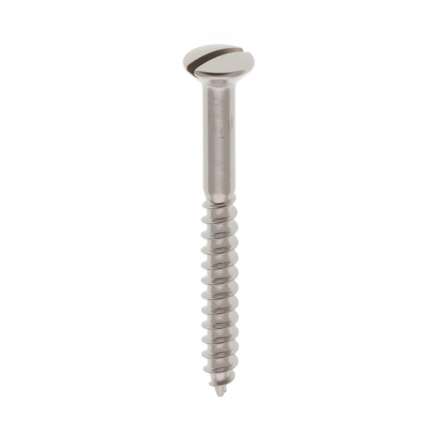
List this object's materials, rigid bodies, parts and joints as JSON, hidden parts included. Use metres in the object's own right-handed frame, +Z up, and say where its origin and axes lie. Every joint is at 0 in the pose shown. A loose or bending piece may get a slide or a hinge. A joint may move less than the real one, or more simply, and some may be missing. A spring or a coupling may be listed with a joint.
{
  "type": "raised countersunk wood screw",
  "caption": "Slotted raised countersunk wood screw lying on its side: domed head with a straight slot, plain shank, coarse right-hand thread and gimlet tip.",
  "frame": {"origin": "middle of the screw's length and width, on the surface it lies on", "axes": "+Y from the tip towards the head, +Z up from the surface the screw lies on, +X across the screw; the screw's own axis rises 3 degrees towards the head"},
  "size_m": [0.0096, 0.0512, 0.0096],
  "materials": {
    "steel": "bright stainless steel, smooth on the head and rolled on the thread"
  },
  "bodies": {
    "root": {"screw": "steel"}
  },
  "joints": []
}
